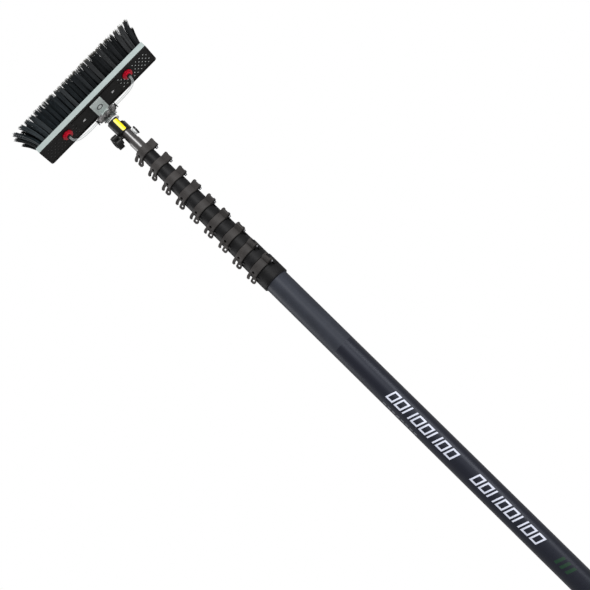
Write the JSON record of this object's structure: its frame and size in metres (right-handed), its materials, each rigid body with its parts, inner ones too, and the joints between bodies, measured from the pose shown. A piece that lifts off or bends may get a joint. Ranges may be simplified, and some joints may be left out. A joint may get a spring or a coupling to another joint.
{
  "type": "telescopic water-fed cleaning pole",
  "caption": "Long telescopic pole of nested carbon tubes with lever clamps and a tilting, rinsing brush head for cleaning windows.",
  "frame": {"origin": "centre of the outer face of the base cap, on the pole's axis", "axes": "+Z along the pole towards the brush; +X along the brush; -Y towards the user, on the side of the clamp levers"},
  "size_m": [0.344, 0.0741, 2.0976],
  "materials": {
    "pole_base": "carbon-fibre tube, satin clear coat",
    "base_cap": "moulded rubber",
    "sections": "carbon-fibre tube, gloss",
    "collars": "moulded nylon",
    "levers": "moulded nylon, dark grey",
    "lever_pins": "steel pin",
    "spigot": "gloss carbon tube",
    "neck_housing": "fine-grained nylon",
    "cross_bolt": "black-coated bolt with a moulded disc head",
    "star_knob": "moulded knob",
    "latch_button": "moulded button",
    "latch_spring": "spring wire",
    "swivel_washer": "white slip washer",
    "hinge_yoke": "moulded nylon",
    "hinge_bolt": "stainless cap screw",
    "hinge_nut": "stainless nut",
    "brush_bracket": "satin aluminium",
    "bracket_screw": "stainless countersunk screw",
    "brush_core": "light grey plastic",
    "brush_back": "black plastic plate",
    "bristles": "dark bristles with lighter tips",
    "jet_bodies": "black plastic",
    "jet_nuts": "red moulded nut",
    "tee_body": "dark grey acetal",
    "collets": "black release ring",
    "jet_tubes": "clear soft tube"
  },
  "bodies": {
    "base": {"base_tube": "pole_base", "base_cap": "base_cap", "clamp_collar_9": "collars", "lever_pin_9": "lever_pins"},
    "section_9": {"tube_9": "sections", "clamp_collar_8": "collars", "lever_pin_8": "lever_pins"},
    "section_8": {"tube_8": "sections", "clamp_collar_7": "collars", "lever_pin_7": "lever_pins"},
    "section_7": {"tube_7": "sections", "clamp_collar_6": "collars", "lever_pin_6": "lever_pins"},
    "section_6": {"tube_6": "sections", "clamp_collar_5": "collars", "lever_pin_5": "lever_pins"},
    "section_5": {"tube_5": "sections", "clamp_collar_4": "collars", "lever_pin_4": "lever_pins"},
    "section_4": {"tube_4": "sections", "clamp_collar_3": "collars", "lever_pin_3": "lever_pins"},
    "section_3": {"tube_3": "sections", "clamp_collar_2": "collars", "lever_pin_2": "lever_pins"},
    "section_2": {"tube_2": "sections", "clamp_collar_1": "collars", "lever_pin_1": "lever_pins"},
    "section_1": {"tube_1": "sections", "neck_spigot": "spigot", "neck_housing": "neck_housing", "cross_bolt": "cross_bolt", "latch_spring": "latch_spring"},
    "lever_9": {"clamp_lever_9": "levers"},
    "lever_8": {"clamp_lever_8": "levers"},
    "lever_7": {"clamp_lever_7": "levers"},
    "lever_6": {"clamp_lever_6": "levers"},
    "lever_5": {"clamp_lever_5": "levers"},
    "lever_4": {"clamp_lever_4": "levers"},
    "lever_3": {"clamp_lever_3": "levers"},
    "lever_2": {"clamp_lever_2": "levers"},
    "lever_1": {"clamp_lever_1": "levers"},
    "latch": {"latch_button": "latch_button"},
    "knob": {"star_knob": "star_knob"},
    "head": {"hinge_yoke": "hinge_yoke", "swivel_washer": "swivel_washer", "hinge_bolt": "hinge_bolt", "hinge_nut": "hinge_nut"},
    "brush": {"brush_bracket": "brush_bracket", "bracket_screw": "bracket_screw", "brush_core": "brush_core", "brush_back": "brush_back", "bristles": "bristles", "jet_bodies": "jet_bodies", "jet_nuts": "jet_nuts", "tee_body": "tee_body", "jet_tube_right": "jet_tubes", "jet_tube_left": "jet_tubes"},
    "collet_right": {"collet_right": "collets"},
    "collet_left": {"collet_left": "collets"}
  },
  "joints": [
    {"name": "slide_9", "type": "slide", "parent": "base", "child": "section_9", "axis": [0, 0, 1], "range_m": [0, 1.35]},
    {"name": "slide_8", "type": "slide", "parent": "section_9", "child": "section_8", "axis": [0, 0, 1], "range_m": [0, 1.35]},
    {"name": "slide_7", "type": "slide", "parent": "section_8", "child": "section_7", "axis": [0, 0, 1], "range_m": [0, 1.35]},
    {"name": "slide_6", "type": "slide", "parent": "section_7", "child": "section_6", "axis": [0, 0, 1], "range_m": [0, 1.35]},
    {"name": "slide_5", "type": "slide", "parent": "section_6", "child": "section_5", "axis": [0, 0, 1], "range_m": [0, 1.35]},
    {"name": "slide_4", "type": "slide", "parent": "section_5", "child": "section_4", "axis": [0, 0, 1], "range_m": [0, 1.35]},
    {"name": "slide_3", "type": "slide", "parent": "section_4", "child": "section_3", "axis": [0, 0, 1], "range_m": [0, 1.35]},
    {"name": "slide_2", "type": "slide", "parent": "section_3", "child": "section_2", "axis": [0, 0, 1], "range_m": [0, 1.35]},
    {"name": "slide_1", "type": "slide", "parent": "section_2", "child": "section_1", "axis": [0, 0, 1], "range_m": [0, 1.35]},
    {"name": "lever_9_open", "type": "hinge", "parent": "base", "child": "lever_9", "pos_m": [0.02164, -0.02726, 1.519], "axis": [0, 0, 1], "range_deg": [0, 100]},
    {"name": "lever_8_open", "type": "hinge", "parent": "section_9", "child": "lever_8", "pos_m": [0.02182, -0.02515, 1.5625], "axis": [0, 0, 1], "range_deg": [0, 100]},
    {"name": "lever_7_open", "type": "hinge", "parent": "section_8", "child": "lever_7", "pos_m": [0.02628, -0.0179, 1.606], "axis": [0, 0, 1], "range_deg": [0, 100]},
    {"name": "lever_6_open", "type": "hinge", "parent": "section_7", "child": "lever_6", "pos_m": [0.02594, -0.01566, 1.6495], "axis": [0, 0, 1], "range_deg": [0, 100]},
    {"name": "lever_5_open", "type": "hinge", "parent": "section_6", "child": "lever_5", "pos_m": [0.02552, -0.01334, 1.693], "axis": [0, 0, 1], "range_deg": [0, 100]},
    {"name": "lever_4_open", "type": "hinge", "parent": "section_5", "child": "lever_4", "pos_m": [0.02502, -0.01092, 1.7365], "axis": [0, 0, 1], "range_deg": [0, 100]},
    {"name": "lever_3_open", "type": "hinge", "parent": "section_4", "child": "lever_3", "pos_m": [0.0244, -0.00839, 1.78], "axis": [0, 0, 1], "range_deg": [0, 100]},
    {"name": "lever_2_open", "type": "hinge", "parent": "section_3", "child": "lever_2", "pos_m": [0.02362, -0.00572, 1.8235], "axis": [0, 0, 1], "range_deg": [0, 100]},
    {"name": "lever_1_open", "type": "hinge", "parent": "section_2", "child": "lever_1", "pos_m": [0.02261, -0.00291, 1.867], "axis": [0, 0, 1], "range_deg": [0, 100]},
    {"name": "latch_press", "type": "hinge", "parent": "section_1", "child": "latch", "pos_m": [0.0108, 0, 1.94425], "axis": [0, 1, 0], "range_deg": [0, 7], "stiffness_Nm_per_rad": 0.3, "springref_deg": -11.46, "deforming": ["latch_spring"]},
    {"name": "knob_turn", "type": "hinge", "parent": "section_1", "child": "knob", "pos_m": [0, 0, 1.92425], "axis": [0.9781, 0.2079, 0], "range_deg": [-360, 0]},
    {"name": "head_turn", "type": "hinge", "parent": "section_1", "child": "head", "pos_m": [0, 0, 1.96475], "axis": [0, 0, 1], "range_deg": [-180, 180]},
    {"name": "brush_tilt", "type": "hinge", "parent": "head", "child": "brush", "pos_m": [0, 0, 1.97875], "axis": [-1, 0, 0], "range_deg": [-12, 48]},
    {"name": "collet_right_press", "type": "slide", "parent": "brush", "child": "collet_right", "axis": [-1, 0, 0], "range_m": [0, 0.0015], "stiffness_N_per_m": 400, "springref_m": -0.002},
    {"name": "collet_left_press", "type": "slide", "parent": "brush", "child": "collet_left", "axis": [1, 0, 0], "range_m": [0, 0.0015], "stiffness_N_per_m": 400, "springref_m": -0.002}
  ]
}
